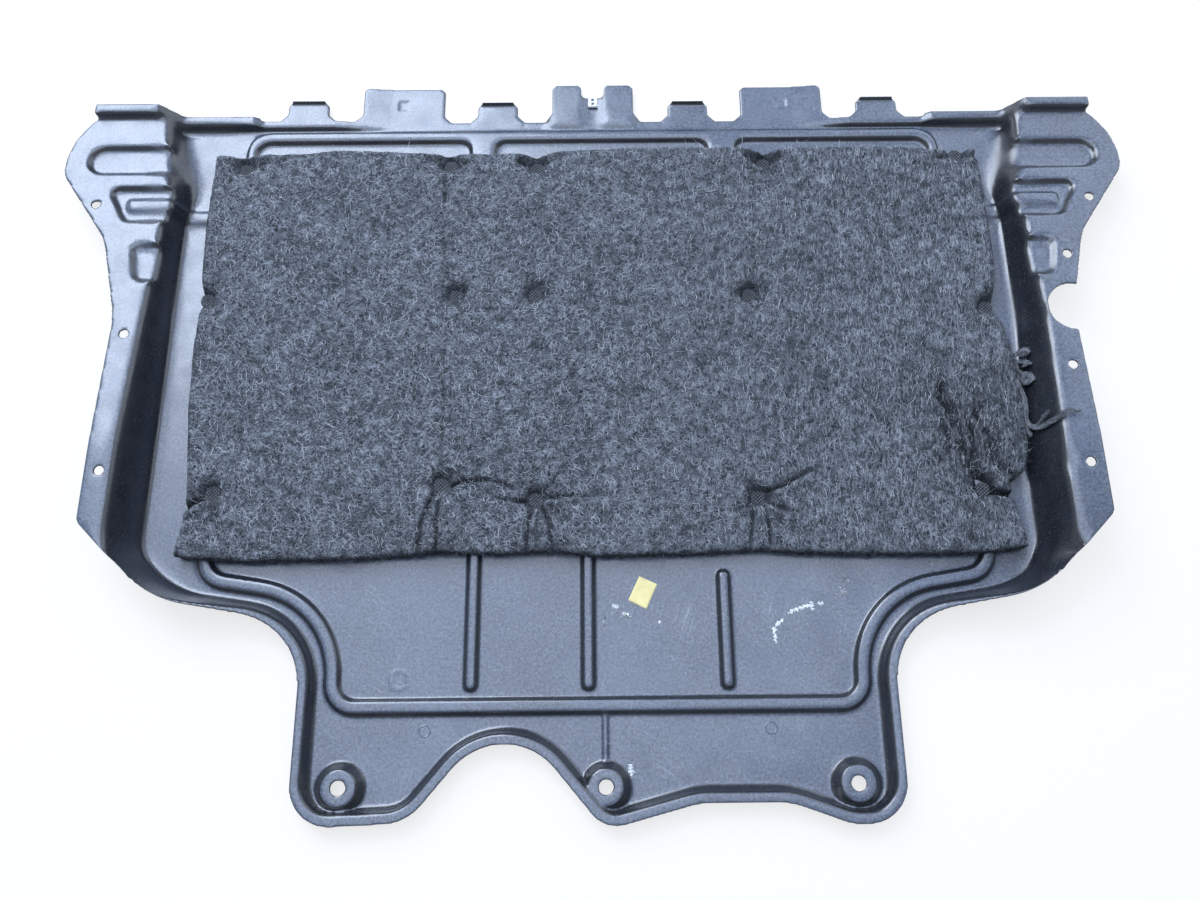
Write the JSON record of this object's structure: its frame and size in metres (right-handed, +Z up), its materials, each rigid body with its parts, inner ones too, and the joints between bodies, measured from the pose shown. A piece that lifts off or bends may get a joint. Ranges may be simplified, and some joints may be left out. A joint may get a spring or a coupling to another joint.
{
  "type": "engine undertray",
  "caption": "Moulded plastic engine undertray with a dished floor, side wings, front tabs and raised fixing bosses, lined with a welded felt sound absorber.",
  "frame": {"origin": "centre of the tray's footprint, on the underside of its floor", "axes": "+X across the car, +Y towards the front edge with the tabs, +Z up to the engine"},
  "size_m": [1.007, 0.7, 0.0475],
  "materials": {
    "tray_plastic": "semi-gloss moulded black plastic, dusty and scuffed",
    "felt": "needled charcoal fibre felt with pale flecks",
    "clip_steel": "zinc-plated spring steel"
  },
  "bodies": {
    "root": {"tray": "tray_plastic", "felt_absorber": "felt", "spring_clip": "clip_steel"}
  },
  "joints": []
}
